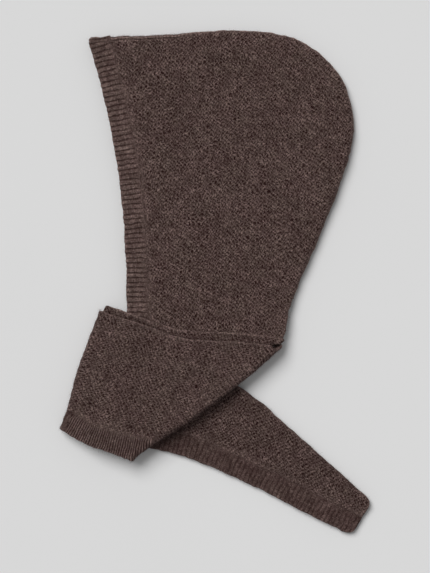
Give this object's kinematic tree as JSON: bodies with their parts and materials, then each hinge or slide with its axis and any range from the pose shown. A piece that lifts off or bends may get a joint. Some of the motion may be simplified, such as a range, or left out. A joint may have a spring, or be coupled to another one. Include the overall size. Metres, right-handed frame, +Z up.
{
  "type": "knit snood hood with scarf tails",
  "caption": "Knit hood with a ribbed face edge and long tapering scarf tails, laid flat on its side with the tails folded across the neck.",
  "frame": {"origin": "middle of the laid object's outline, on the surface that it rests on", "axes": "+Z up from that surface, +Y from the tail's tip toward the crown, +X from the face opening toward the back of the head"},
  "size_m": [0.324, 0.526, 0.0193],
  "materials": {
    "knit_body": "brushed mottled dark brown wool knit",
    "rib_knit": "ribbed dark brown wool knit",
    "seam_knit": "linked wool seam"
  },
  "bodies": {
    "root": {"hood_panel_near": "knit_body", "hood_panel_far": "knit_body", "rib_band_near": "rib_knit", "rib_band_far": "rib_knit", "centre_seam": "seam_knit"}
  },
  "joints": []
}
